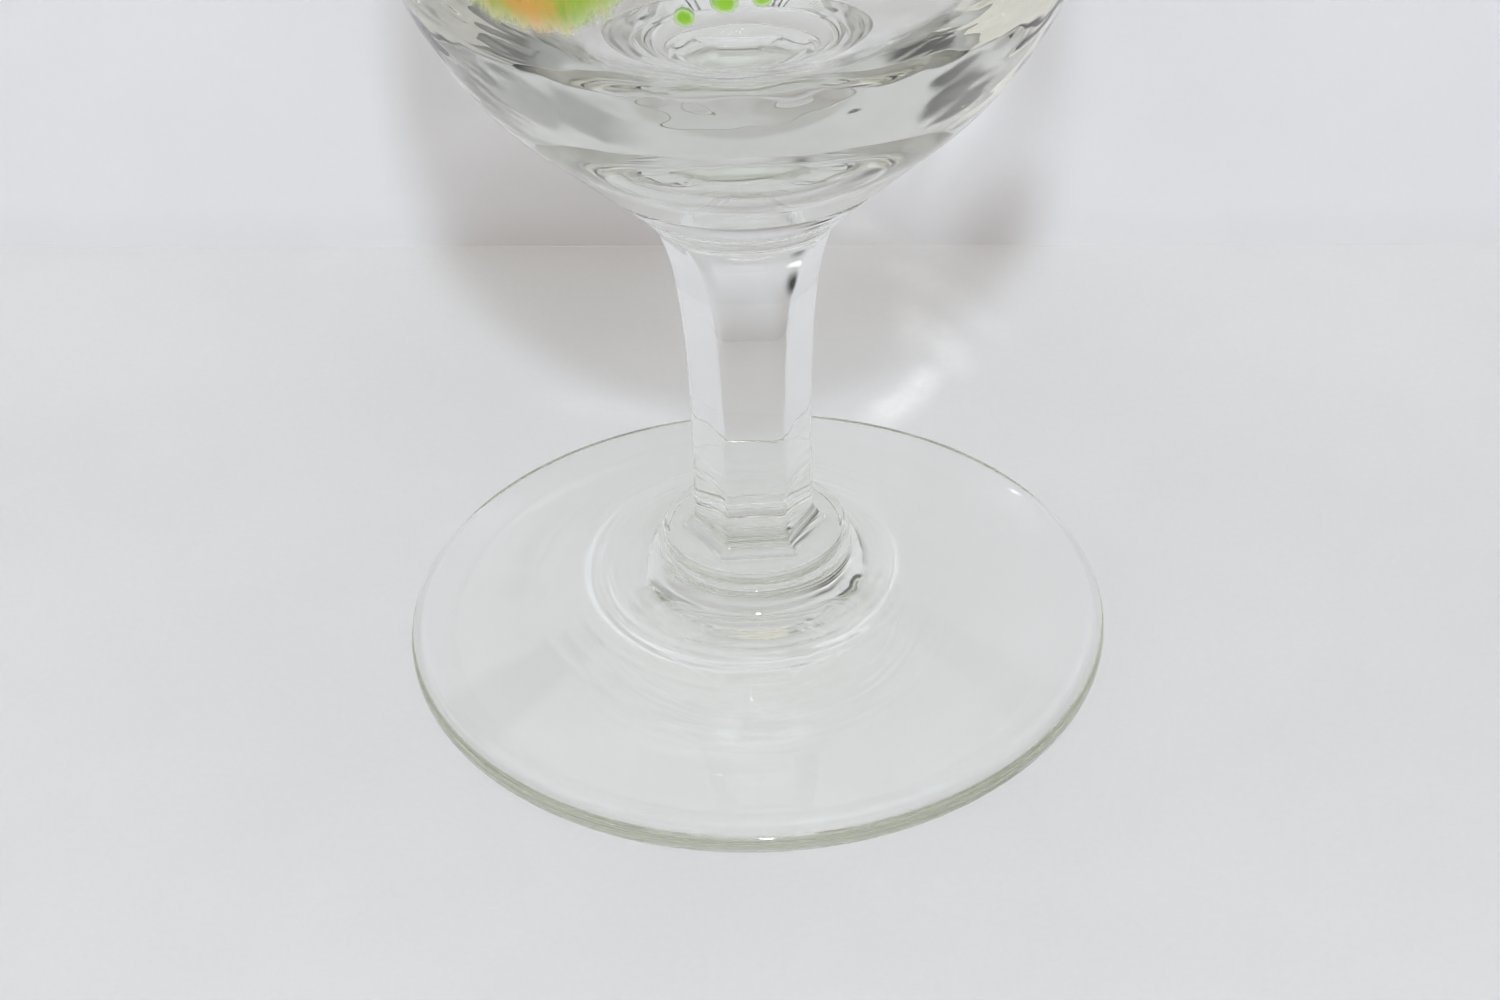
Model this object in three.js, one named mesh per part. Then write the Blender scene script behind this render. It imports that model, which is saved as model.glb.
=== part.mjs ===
// A small stemmed drinking glass: bowl, collar, six-sided stem and foot, with fired enamel fruit.
// Units are millimetres, +Z is up, and the glass stands on z = 0 with its decorated side towards -Y.

import * as THREE from "three";

// Foot
const FOOT_DIAMETER = 64;
const FOOT_HEIGHT = 10.9;
const FOOT_EDGE_THICKNESS = 2.1;
const CONTACT_RING_WIDTH = 3.5;
const HOLLOW_RISE = 2.2;
const CONE_START_DIAMETER = 21.2;
const CONE_RISE = 5.94;
const CROWN_LEDGE = 0.3;
const RIDGE_HEIGHT = 0.12;
const RIDGE_WIDTH = 0.5;
const RIDGE_DISTANCES = [4, 3.05];

// Stem
const SHAFT_LENGTH = 7.6;
const STEM_ACROSS_CORNERS = 10.9;
const BOSS_DIAMETER = 16.8;
const BOSS_HEIGHT = 1.4;
const BOSS_EDGE_RADIUS = 0.65;
const FOOT_FLARE_HEIGHT = 2.3;
const HEAD_FLARE_HEIGHT = 24.7;
const HEAD_SLENDER_HEIGHT = 11.9;
const HEAD_TURN_HEIGHT = 21.4;
const HEAD_TURN_DIAMETER = 12.2;
const HEAD_EDGE_HEIGHT = 0.4;
const HEAD_INSET = 0.1;
const FACET_TOP_WIDTH = 5.3;
const FACET_RUN_OUT = 1.4;
const FACET_END_HEIGHT = 2.2;
const FACETS = 6;
const FACET_TURN = THREE.MathUtils.degToRad(2.5);
const FACET_CURL_HEIGHT = 1.75;
const FACET_CURL_DEPTH = 2.35;
const CORNER_ROUNDING = 0.35;

// Collar
const COLLAR_BOTTOM_DIAMETER = 18.8;
const COLLAR_TOP_DIAMETER = 28.8;
const COLLAR_HEIGHT = 5.2;

// Bowl
const BOWL_HEIGHT = 59.5;
const BOWL_DIAMETER = 61.6;
const BOWL_BASE_DIAMETER = 29;
const BELLY_HEIGHT = 33.5;
const BELLY_HALF_AXIS = 36.6;
const LIP_INSET = 3.4;
const WALL_THICKNESS = 2;
const LIP_THICKNESS = 1.6;
const FLOOR_THICKNESS = 6.3;

// Enamel
const ENAMEL_THICKNESS = 0.25;
const ENAMEL_CLEARANCE = 0.05;
const TIP_WIDTH = 0.15;

// Enamel patches. `offset` and `height` place the end that a patch starts from, round the belly and upwards,
// and it runs from there in the direction `tilt`, in degrees. `arch` is how far it bends to its left. The
// first fruit is placed from the bowl's front and rim.
const FRUIT_1 = { offset: -29.8, rimDistance: 9.8, tilt: 0, length: 24.5, width: 25, arch: 0 };

// Placed from the first fruit's left end and top.
const FRUIT_2 = { offset: -1.4, height: -7.7, tilt: 180, length: 14.5, width: 17, arch: 0 };

// Placed from the first fruit's middle and top.
const LEAF_1 = { offset: 5.5, height: 0.4, tilt: 20, length: 13, width: 4.6, arch: 0.5 };
const LEAF_2 = { offset: -2.6, height: 0.7, tilt: 165, length: 13, width: 4.8, arch: -0.6 };
const STALK = { offset: -0.1, height: 0.8, tilt: 80, length: 5.2, width: 0.8, arch: 0.4 };

// Placed from the first fruit's right end and top.
const LEAF_3 = { offset: 2.8, height: -18, tilt: 75, length: 13.5, width: 5.2, arch: 0.7 };

// Placed from the start of the third leaf.
const BERRY_1 = { offset: -2.5, height: -3.2, tilt: 0, length: 1.8, width: 1.8, arch: 0 };
const BERRY_2 = { offset: 0.3, height: -1.9, tilt: 0, length: 2.3, width: 2, arch: 0 };
const BERRY_3 = { offset: 3.2, height: -1.5, tilt: 0, length: 2, width: 1.9, arch: 0 };

// How finely round shapes are divided
const TURN_SEGMENTS = 60;
const STEM_SEGMENTS_PER_FACET = 8;
const ENAMEL_STEP = 2;

// Heights that follow from the driving dimensions
const footTop = FOOT_HEIGHT;
const bossTop = footTop + BOSS_HEIGHT;
const shaftStart = bossTop + FOOT_FLARE_HEIGHT;
const shaftEnd = shaftStart + SHAFT_LENGTH;
const headEdge = shaftEnd + HEAD_FLARE_HEIGHT;
const stemTop = headEdge + HEAD_EDGE_HEIGHT;
const bowlBase = stemTop + COLLAR_HEIGHT;
const bellyHeight = bowlBase + BELLY_HEIGHT;
const bowlTop = bowlBase + BOWL_HEIGHT;

const glass = new THREE.MeshStandardMaterial({ color: 0xdfe4de, roughness: 0.02, metalness: 0 });
const fruitEnamel = new THREE.MeshStandardMaterial({ color: 0xb4b045, roughness: 0.45, metalness: 0 });
const leafEnamel = new THREE.MeshStandardMaterial({ color: 0xa5be3c, roughness: 0.45, metalness: 0 });
const berryEnamel = new THREE.MeshStandardMaterial({ color: 0x7fc21e, roughness: 0.4, metalness: 0 });
const stalkEnamel = new THREE.MeshStandardMaterial({ color: 0x33481f, roughness: 0.4, metalness: 0 });

const part = new THREE.Group();

function addMesh(name, geometry, material) {
  const mesh = new THREE.Mesh(geometry, material);
  mesh.name = name;
  part.add(mesh);
}

// A closed solid from an outline of (radius, height) points that starts and ends on the axis.
function turned(outline) {
  return new THREE.LatheGeometry(outline, TURN_SEGMENTS).rotateX(Math.PI / 2);
}

// The vertical half-axis of an ellipse that is `widest` at its middle and `narrow` at the distance `rise`.
function halfAxis(widest, narrow, rise) {
  return rise / Math.sqrt(1 - (narrow / widest) ** 2);
}

// The angle at which a line from (radius, height) touches the lower half of an ellipse round the origin.
function tangentAngle(halfWidth, halfHeight, radius, height) {
  const across = radius / halfWidth;
  const upwards = height / halfHeight;
  return Math.atan2(upwards, across) + Math.acos(1 / Math.hypot(across, upwards));
}

// An arc round the axis at the belly's height. Angles run from 0 at the belly, and up is positive.
function bellyArc(widestRadius, verticalHalfAxis, start, end, divisions) {
  return new THREE.EllipseCurve(0, bellyHeight, widestRadius, verticalHalfAxis, start, end, start > end)
    .getPoints(divisions);
}

const outerRadius = BOWL_DIAMETER / 2;
const lipRadius = outerRadius - LIP_INSET;
const lipCentreHeight = bowlTop - LIP_THICKNESS / 2;
const upperHalfAxis = halfAxis(outerRadius, lipRadius, lipCentreHeight - bellyHeight);

// The bowl's outside is a cone from its base, then an ellipse below the belly and another above it.
function makeBowl() {
  const baseRadius = BOWL_BASE_DIAMETER / 2;
  const innerRadius = outerRadius - WALL_THICKNESS;
  const innerLipRadius = lipRadius - LIP_THICKNESS;
  const cavityDepth = bellyHeight - bowlBase - FLOOR_THICKNESS;
  const coneEnd = tangentAngle(outerRadius, BELLY_HALF_AXIS, baseRadius, bowlBase - bellyHeight);
  const lipStart = Math.acos(lipRadius / outerRadius);
  const innerLipStart = Math.acos(innerLipRadius / innerRadius);
  const innerHalfAxis = halfAxis(innerRadius, innerLipRadius, lipCentreHeight - bellyHeight);
  const lipRound = LIP_THICKNESS / 2;
  const lip = new THREE.EllipseCurve(lipRadius - lipRound, lipCentreHeight, lipRound, lipRound, 0, Math.PI);
  const outline = [
    new THREE.Vector2(0, bowlBase),
    new THREE.Vector2(baseRadius, bowlBase),
    ...bellyArc(outerRadius, BELLY_HALF_AXIS, coneEnd, 0, 12),
    ...bellyArc(outerRadius, upperHalfAxis, 0, lipStart, 6).slice(1),
    ...lip.getPoints(4).slice(1, -1),
    ...bellyArc(innerRadius, innerHalfAxis, innerLipStart, 0, 6),
    ...bellyArc(innerRadius, cavityDepth, 0, -Math.PI / 2, 14).slice(1),
  ];
  addMesh("bowl", turned(outline), glass);
}

// The collar carries the bowl's cone on down to the stem's head.
function makeCollar() {
  const outline = [
    new THREE.Vector2(0, stemTop),
    new THREE.Vector2(COLLAR_BOTTOM_DIAMETER / 2, stemTop),
    new THREE.Vector2(COLLAR_TOP_DIAMETER / 2, bowlBase),
    new THREE.Vector2(0, bowlBase),
  ];
  addMesh("collar", turned(outline), glass);
}

// The stem is a turned shape with six faces pressed into it. Both are given as a radius at each height.
const shaftRadius = STEM_ACROSS_CORNERS / 2;
const shaftApothem = shaftRadius * Math.cos(Math.PI / FACETS);
const facetHalfWidth = shaftRadius * Math.sin(Math.PI / FACETS);
const headRadius = COLLAR_BOTTOM_DIAMETER / 2 - HEAD_INSET;

// The long flare from the shaft to the head, as a curve of (radius, height). Its two middle points pull it
// straight up at first and outwards just below the head.
const headCurve = new THREE.CubicBezierCurve(
  new THREE.Vector2(shaftRadius, shaftEnd),
  new THREE.Vector2(shaftRadius, shaftEnd + HEAD_SLENDER_HEIGHT),
  new THREE.Vector2(HEAD_TURN_DIAMETER / 2, shaftEnd + HEAD_TURN_HEIGHT),
  new THREE.Vector2(headRadius, headEdge),
);

// How far a pressed face lies from the axis, where the stem's turned envelope has the given radius. Each
// face curls outwards at its foot and ends on the boss, and ends in an arch near the top of the head's flare.
function facetDistance(height, envelopeRadius) {
  if (height <= bossTop) {
    return Infinity;
  }
  if (height < bossTop + FACET_CURL_HEIGHT) {
    const drop = 1 - (height - bossTop) / FACET_CURL_HEIGHT;
    return shaftApothem + FACET_CURL_DEPTH * (1 - Math.sqrt(1 - drop * drop));
  }
  const archStart = stemTop - FACET_RUN_OUT - FACET_END_HEIGHT;
  const climbed = THREE.MathUtils.clamp((height - shaftEnd) / (archStart - shaftEnd), 0, 1);
  const halfWidth = THREE.MathUtils.lerp(facetHalfWidth, FACET_TOP_WIDTH / 2, climbed);
  const past = THREE.MathUtils.clamp((height - archStart) / FACET_END_HEIGHT, 0, 1);
  return Math.sqrt(envelopeRadius ** 2 - halfWidth ** 2 * (1 - past ** 2.5));
}

function smoothMinimum(a, b) {
  const overlap = Math.max(CORNER_ROUNDING - Math.abs(a - b), 0) / CORNER_ROUNDING;
  return Math.min(a, b) - (overlap * overlap * CORNER_ROUNDING) / 4;
}

// The turned envelope of the stem from its underside to its head, as (radius, height) points.
function stemEnvelope() {
  const edgeCentre = BOSS_DIAMETER / 2 - BOSS_EDGE_RADIUS;
  const flareReach = edgeCentre - shaftRadius;
  const path = new THREE.Path();
  path.moveTo(edgeCentre, footTop);
  path.absarc(edgeCentre, footTop + BOSS_EDGE_RADIUS, BOSS_EDGE_RADIUS, -Math.PI / 2, 0);
  path.absarc(edgeCentre, bossTop - BOSS_EDGE_RADIUS, BOSS_EDGE_RADIUS, 0, Math.PI / 2);
  path.absellipse(edgeCentre, shaftStart, flareReach, FOOT_FLARE_HEIGHT, -Math.PI / 2, -Math.PI, true);
  path.lineTo(shaftRadius, shaftEnd);
  const head = headCurve.getPoints(16).slice(1);
  return [...path.getPoints(3), ...head, new THREE.Vector2(headRadius, stemTop)];
}

// A closed solid from rings of equal length, each listed anticlockwise from above, from the bottom up.
function solidFromRings(rings) {
  const count = rings[0].length;
  const positions = rings.flat().flatMap((point) => [point.x, point.y, point.z]);
  const faces = [];
  const corner = (ring, index) => ring * count + (index % count);
  for (let ring = 0; ring + 1 < rings.length; ring += 1) {
    for (let index = 0; index < count; index += 1) {
      const [a, b] = [corner(ring, index), corner(ring, index + 1)];
      const [c, d] = [corner(ring + 1, index + 1), corner(ring + 1, index)];
      faces.push(a, b, c, a, c, d);
    }
  }
  const bottomCentre = positions.length / 3;
  const topCentre = bottomCentre + 1;
  positions.push(0, 0, rings[0][0].z, 0, 0, rings[rings.length - 1][0].z);
  for (let index = 0; index < count; index += 1) {
    faces.push(bottomCentre, corner(0, index + 1), corner(0, index));
    faces.push(topCentre, corner(rings.length - 1, index), corner(rings.length - 1, index + 1));
  }
  const geometry = new THREE.BufferGeometry();
  geometry.setAttribute("position", new THREE.Float32BufferAttribute(positions, 3));
  geometry.setIndex(faces);
  geometry.computeVertexNormals();
  return geometry;
}

function makeStem() {
  const segments = FACETS * STEM_SEGMENTS_PER_FACET;
  const facetAngle = (2 * Math.PI) / FACETS;
  const rings = stemEnvelope().map((point) =>
    Array.from({ length: segments }, (_, index) => {
      const turn = (index / STEM_SEGMENTS_PER_FACET - 0.5) * facetAngle;
      const fromFaceMiddle = turn - facetAngle * Math.round(turn / facetAngle);
      const face = facetDistance(point.y, point.x) / Math.cos(fromFaceMiddle);
      const radius = smoothMinimum(point.x, face);
      const angle = turn - Math.PI / 2 + FACET_TURN;
      return new THREE.Vector3(radius * Math.cos(angle), radius * Math.sin(angle), point.y);
    }),
  );
  addMesh("stem", solidFromRings(rings), glass);
}

// The foot: a hollow underside, a flat contact ring, a round edge, a low cone and a steep crown.
function makeFoot() {
  const footRadius = FOOT_DIAMETER / 2;
  const edgeRadius = FOOT_EDGE_THICKNESS / 2;
  const contactOuter = footRadius - edgeRadius;
  const contactInner = contactOuter - CONTACT_RING_WIDTH;
  const coneStart = CONE_START_DIAMETER / 2;
  const coneTop = FOOT_EDGE_THICKNESS + CONE_RISE;
  const coneSlope = CONE_RISE / (contactOuter - coneStart);
  const crownRadius = BOSS_DIAMETER / 2 + CROWN_LEDGE;
  const crownReach = coneStart - crownRadius;
  const hollowFlatShare = 0.6;
  const crownSpringShare = 0.3;

  const hollow = new THREE.QuadraticBezierCurve(
    new THREE.Vector2(0, HOLLOW_RISE),
    new THREE.Vector2(hollowFlatShare * contactInner, HOLLOW_RISE),
    new THREE.Vector2(contactInner, 0),
  );
  const edge = new THREE.EllipseCurve(
    contactOuter, edgeRadius, edgeRadius, edgeRadius, -Math.PI / 2, Math.PI / 2,
  );
  const crown = new THREE.QuadraticBezierCurve(
    new THREE.Vector2(coneStart, coneTop),
    new THREE.Vector2(
      coneStart - crownSpringShare * crownReach,
      coneTop + crownSpringShare * crownReach * coneSlope,
    ),
    new THREE.Vector2(crownRadius, footTop),
  );

  // Shallow ridges run round the foot just outside the cone's start.
  const ridges = RIDGE_DISTANCES.flatMap((distance) =>
    [1, 0, -1].map((side) => {
      const fromConeStart = distance + (side * RIDGE_WIDTH) / 2;
      const lift = side === 0 ? RIDGE_HEIGHT : 0;
      return new THREE.Vector2(coneStart + fromConeStart, coneTop - fromConeStart * coneSlope + lift);
    }),
  );
  const outline = [
    ...hollow.getPoints(5),
    ...edge.getPoints(6),
    ...ridges,
    ...crown.getPoints(6).slice(1),
    new THREE.Vector2(0, footTop),
  ];
  addMesh("foot", turned(outline), glass);
}

// A point on the bowl's outside, given by how far it lies from the front, measured along the belly, by its
// height, and by how far it stands off.
function onBowl(fromFront, height, standOff) {
  const angle = fromFront / outerRadius;
  const verticalAxis = height < bellyHeight ? BELLY_HALF_AXIS : upperHalfAxis;
  const share = (height - bellyHeight) / verticalAxis;
  const radius = outerRadius * Math.sqrt(1 - share * share);
  const normal = new THREE.Vector2(radius / outerRadius ** 2, share / verticalAxis).normalize();
  const reach = radius + standOff * normal.x;
  return new THREE.Vector3(reach * Math.sin(angle), -reach * Math.cos(angle), height + standOff * normal.y);
}

// A thin patch of enamel on the bowl. `halfWidth` gives its half width at each share of its length.
function enamelPatch({ offset, height, tilt, length, width, arch }, halfWidth) {
  const along = Math.max(6, Math.round(length / ENAMEL_STEP));
  const across = Math.max(2, Math.round(width / ENAMEL_STEP));
  const cosTilt = Math.cos(THREE.MathUtils.degToRad(tilt));
  const sinTilt = Math.sin(THREE.MathUtils.degToRad(tilt));
  const positions = [];
  for (const standOff of [ENAMEL_CLEARANCE, ENAMEL_CLEARANCE + ENAMEL_THICKNESS]) {
    for (let i = 0; i <= along; i += 1) {
      const share = (1 - Math.cos((Math.PI * i) / along)) / 2;
      for (let j = 0; j <= across; j += 1) {
        const x = share * length;
        const y = halfWidth(share, width) * ((2 * j) / across - 1) + arch * Math.sin(Math.PI * share);
        const fromFront = offset + x * cosTilt - y * sinTilt;
        const point = onBowl(fromFront, height + x * sinTilt + y * cosTilt, standOff);
        positions.push(point.x, point.y, point.z);
      }
    }
  }
  const layer = (along + 1) * (across + 1);
  const at = (i, j) => i * (across + 1) + j;
  const faces = [];
  const quad = (a, b, c, d) => faces.push(a, b, c, a, c, d);
  for (let i = 0; i < along; i += 1) {
    for (let j = 0; j < across; j += 1) {
      const [a, b, c, d] = [at(i, j), at(i + 1, j), at(i + 1, j + 1), at(i, j + 1)];
      quad(layer + a, layer + b, layer + c, layer + d);
      quad(d, c, b, a);
    }
    quad(at(i, 0), at(i + 1, 0), layer + at(i + 1, 0), layer + at(i, 0));
    quad(at(i + 1, across), at(i, across), layer + at(i, across), layer + at(i + 1, across));
  }
  for (let j = 0; j < across; j += 1) {
    quad(at(0, j + 1), at(0, j), layer + at(0, j), layer + at(0, j + 1));
    quad(at(along, j), at(along, j + 1), layer + at(along, j + 1), layer + at(along, j));
  }
  const geometry = new THREE.BufferGeometry();
  geometry.setAttribute("position", new THREE.Float32BufferAttribute(positions, 3));
  geometry.setIndex(faces);
  geometry.computeVertexNormals();
  return geometry;
}

// Patch outlines: the half width at a share of the length.
function oval(share, width) {
  return TIP_WIDTH + (width / 2) * Math.sqrt(Math.max(0, 4 * share * (1 - share)));
}

function pointed(share, width) {
  return TIP_WIDTH + (width / 2) * Math.sin(Math.PI * share);
}

function even(share, width) {
  return width / 2;
}

function placedFrom(offset, height, patch) {
  return { ...patch, offset: offset + patch.offset, height: height + patch.height };
}

function makeEnamel() {
  const fruitTop = bowlTop - FRUIT_1.rimDistance;
  const fruitMiddle = FRUIT_1.offset + FRUIT_1.length / 2;
  const fruitRight = FRUIT_1.offset + FRUIT_1.length;
  const firstFruit = { ...FRUIT_1, height: fruitTop - FRUIT_1.width / 2 };
  const secondFruit = placedFrom(FRUIT_1.offset, fruitTop, FRUIT_2);
  const thirdLeaf = placedFrom(fruitRight, fruitTop, LEAF_3);

  addMesh("enamel_fruit_1", enamelPatch(firstFruit, oval), fruitEnamel);
  addMesh("enamel_fruit_2", enamelPatch(secondFruit, oval), fruitEnamel);
  addMesh("enamel_leaf_1", enamelPatch(placedFrom(fruitMiddle, fruitTop, LEAF_1), pointed), leafEnamel);
  addMesh("enamel_leaf_2", enamelPatch(placedFrom(fruitMiddle, fruitTop, LEAF_2), pointed), leafEnamel);
  addMesh("enamel_leaf_3", enamelPatch(thirdLeaf, pointed), leafEnamel);
  [BERRY_1, BERRY_2, BERRY_3].forEach((berry, index) => {
    const patch = enamelPatch(placedFrom(thirdLeaf.offset, thirdLeaf.height, berry), oval);
    addMesh(`enamel_berry_${index + 1}`, patch, berryEnamel);
  });
  addMesh("enamel_stalk", enamelPatch(placedFrom(fruitMiddle, fruitTop, STALK), even), stalkEnamel);
}

makeFoot();
makeStem();
makeCollar();
makeBowl();
makeEnamel();

export default part;
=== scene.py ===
"""Looks of a small stemmed drinking glass with fired enamel fruit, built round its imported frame.

Lengths are in metres unless a comment says otherwise. The glass stands on z = 0, its axis is the Z axis, and
the camera looks along +Y.
"""

import math

import bpy
import numpy as np
from mathutils import Matrix, Vector


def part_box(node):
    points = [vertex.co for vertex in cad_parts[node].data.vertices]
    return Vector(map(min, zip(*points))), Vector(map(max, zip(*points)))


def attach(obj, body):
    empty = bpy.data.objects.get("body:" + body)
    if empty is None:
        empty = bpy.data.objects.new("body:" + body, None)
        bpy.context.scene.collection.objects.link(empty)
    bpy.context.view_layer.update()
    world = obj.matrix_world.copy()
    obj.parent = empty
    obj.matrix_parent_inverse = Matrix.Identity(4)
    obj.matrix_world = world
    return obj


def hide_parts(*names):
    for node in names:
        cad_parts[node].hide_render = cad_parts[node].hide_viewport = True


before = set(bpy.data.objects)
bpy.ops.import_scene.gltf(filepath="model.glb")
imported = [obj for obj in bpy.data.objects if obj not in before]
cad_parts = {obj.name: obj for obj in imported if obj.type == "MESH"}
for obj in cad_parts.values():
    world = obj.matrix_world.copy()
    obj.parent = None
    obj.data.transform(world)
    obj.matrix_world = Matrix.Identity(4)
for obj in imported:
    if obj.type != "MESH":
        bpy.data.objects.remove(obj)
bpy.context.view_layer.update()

MM = 0.001

# Sizes that the frame gives
FOOT_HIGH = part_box("foot")[1]
STEM_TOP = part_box("stem")[1].z
COLLAR_LOW, COLLAR_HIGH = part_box("collar")
BOWL_LOW, BOWL_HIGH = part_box("bowl")
FOOT_RADIUS = FOOT_HIGH.x
FOOT_TOP = FOOT_HIGH.z
COLLAR_TOP_RADIUS = COLLAR_HIGH.x
BOWL_RADIUS = BOWL_HIGH.x
BOWL_BASE = BOWL_LOW.z
BOWL_TOP = BOWL_HIGH.z

# Sizes inside the boxes, as the frame's solids have them
FOOT_EDGE_THICKNESS = 2.1 * MM
CONTACT_RING_WIDTH = 3.5 * MM
HOLLOW_RISE = 2.2 * MM
HOLLOW_FLAT_SHARE = 0.6
CONE_START_RADIUS = 10.6 * MM
CONE_RISE = 5.94 * MM
CROWN_LEDGE = 0.3 * MM
SHAFT_RADIUS = 5.45 * MM
SHAFT_LENGTH = 7.6 * MM
BOSS_RADIUS = 8.4 * MM
BOSS_HEIGHT = 1.4 * MM
BOSS_EDGE_RADIUS = 0.65 * MM
FOOT_FLARE_HEIGHT = 2.3 * MM
HEAD_EDGE_HEIGHT = 0.4 * MM
HEAD_INSET = 0.1 * MM
HEAD_SLENDER_HEIGHT = 11.9 * MM
HEAD_TURN_HEIGHT = 21.4 * MM
HEAD_TURN_RADIUS = 6.1 * MM
FACETS = 6
FACET_TURN = math.radians(2.5)
FACET_TOP_WIDTH = 5.3 * MM
FACET_RUN_OUT = 1.4 * MM
FACET_END_HEIGHT = 2.2 * MM
FACET_ARCH_POWER = 2.5
FACET_CURL_HEIGHT = 1.75 * MM
FACET_CURL_DEPTH = 2.35 * MM
CORNER_ROUNDING = 0.35 * MM
COLLAR_BOTTOM_RADIUS = 9.4 * MM
BOWL_BASE_RADIUS = 14.5 * MM
BELLY_HEIGHT = BOWL_BASE + 33.5 * MM
LOWER_HALF_AXIS = 36.6 * MM
LIP_INSET = 3.4 * MM
LIP_THICKNESS = 1.6 * MM
WALL_THICKNESS = 2 * MM
FLOOR_THICKNESS = 6.3 * MM
ENAMEL_THICKNESS = 0.25 * MM
ENAMEL_CLEARANCE = 0.05 * MM
TIP_WIDTH = 0.15 * MM

# Forms that only this finer model has: a foot edge with a slightly squared section (2 is round), and a crown that
# runs out softly onto the cone
RIM_BLUNTNESS = 2.5
CROWN_REACH = 3 * MM
CROWN_TURN_RADIUS = 9.5 * MM
CROWN_TURN_HEIGHT = 8.8 * MM

# Fused pieces reach this far into each other, and their ends are drawn in a little more, so that light passes as
# through one glass
FUSED_DEPTH = 0.1 * MM
FUSED_INSET = 3 * FUSED_DEPTH

# A foot touches a table only at a few points
TABLE_GAP = 0.05 * MM

# How finely pieces are divided. Enamel has at least so many steps along and across.
TURN_SEGMENTS = 192
STEM_SEGMENTS_PER_FACET = 40
ENAMEL_STEP = 0.35 * MM
LEAST_ALONG, LEAST_ACROSS = 24, 12
WAVE_COUNT = 26

# A little more than a full turn in radians, as the range of a random phase
ANY_PHASE = 6.3

GLASS_BEND = 1.52
AIR_BEND = 1.0
WHITE = (1, 1, 1, 1)
LIGHT_BOUNCES = 48


def add_object(name, data):
    """A new object in the scene."""
    item = bpy.data.objects.new(name, data)
    bpy.context.collection.objects.link(item)
    return item


def ellipse(centre_radius, centre_height, half_width, half_height, start, end, count):
    """Points (radius, height) along an ellipse from one angle to another, in degrees."""
    angles = np.radians(np.linspace(start, end, count))
    radii = centre_radius + half_width * np.cos(angles)
    return np.column_stack([radii, centre_height + half_height * np.sin(angles)])


def bezier(points, count):
    """Points along a Bezier curve of any degree."""
    points = np.array(points, float)
    degree = len(points) - 1
    t = np.linspace(0, 1, count)[:, None]
    weights = [math.comb(degree, k) * t**k * (1 - t) ** (degree - k) for k in range(degree + 1)]
    return sum(w * p for w, p in zip(weights, points))


def grid_mesh(name, rings, fused_bottom=False, fused_top=False):
    """A closed object from rings of points, each anticlockwise from above, from the bottom up. The attribute
    `fused` is 1 on an end that is fused to the next piece."""
    rings = np.asarray(rings)
    count, size = rings.shape[0], rings.shape[1]
    vertices = rings.reshape(-1, 3).tolist()
    faces = []
    for ring in range(count - 1):
        low, high = ring * size, (ring + 1) * size
        for index in range(size):
            after = (index + 1) % size
            faces.append((low + index, low + after, high + after, high + index))
    fused = [0.0] * len(faces)
    for ring, order, is_fused in ((0, -1, fused_bottom), (count - 1, 1, fused_top)):
        centre = len(vertices)
        vertices.append([0, 0, float(rings[ring, :, 2].mean())])
        for index in range(size):
            pair = (ring * size + index, ring * size + (index + 1) % size)
            faces.append((centre, *pair[::order]))
            fused.append(float(is_fused))
    mesh = bpy.data.meshes.new(name)
    mesh.from_pydata(vertices, [], faces)
    mesh.attributes.new("fused", "FLOAT", "FACE").data.foreach_set("value", fused)
    mesh.shade_smooth()
    return add_object(name, mesh)


def waves(points, shortest, longest, slope, seed, flatten=1.0):
    """A gentle random relief over points. `slope` is its usual steepness, and `flatten` above 1 stretches it
    sideways."""
    source = np.random.default_rng(seed)
    directions = source.normal(size=(WAVE_COUNT, 3))
    directions[:, 2] *= flatten
    directions /= np.linalg.norm(directions, axis=1)[:, None]
    lengths = shortest * (longest / shortest) ** source.random(WAVE_COUNT)
    phases = source.random(WAVE_COUNT) * 2 * math.pi
    relief = np.zeros(points.shape[:-1])
    for direction, length, phase in zip(directions, lengths, phases):
        turns = 2 * math.pi / length
        relief += slope * math.sqrt(2 / WAVE_COUNT) / turns * np.sin(turns * (points @ direction) + phase)
    return relief


def bell(offset):
    """A soft bell, 1 in its middle."""
    return np.exp(-(offset**2))


def turned(name, outline, relief=None, **fused):
    """A turned object from (radius, height) points that start and end at the axis. `relief` gives how far each
    ring point is moved outwards."""
    angles = np.linspace(0, 2 * math.pi, TURN_SEGMENTS, endpoint=False)
    body = np.asarray(outline)[1:-1]
    radii = body[:, :1]
    heights = np.repeat(body[:, 1:], TURN_SEGMENTS, axis=1)
    rings = np.stack([radii * np.cos(angles), radii * np.sin(angles), heights], axis=-1)
    if relief is not None:
        steps = np.gradient(body, axis=0)
        steps /= np.linalg.norm(steps, axis=1)[:, None]
        depth = relief(rings)
        rings[..., 0] += depth * steps[:, 1:] * np.cos(angles)
        rings[..., 1] += depth * steps[:, 1:] * np.sin(angles)
        rings[..., 2] -= depth * steps[:, :1]
    return grid_mesh(name, rings, **fused)


def half_axis(widest, narrow, rise):
    """The vertical half-axis of an ellipse that narrows to `narrow` at the distance `rise` from its middle."""
    return rise / math.sqrt(1 - (narrow / widest) ** 2)


def tangent_angle(half_width, half_height, radius, height):
    """The angle in degrees at which a line from (radius, height) outside an ellipse touches its lower half."""
    a, b = radius / half_width, height / half_height
    return math.degrees(math.atan2(b, a) + math.acos(1 / math.hypot(a, b)))


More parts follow.
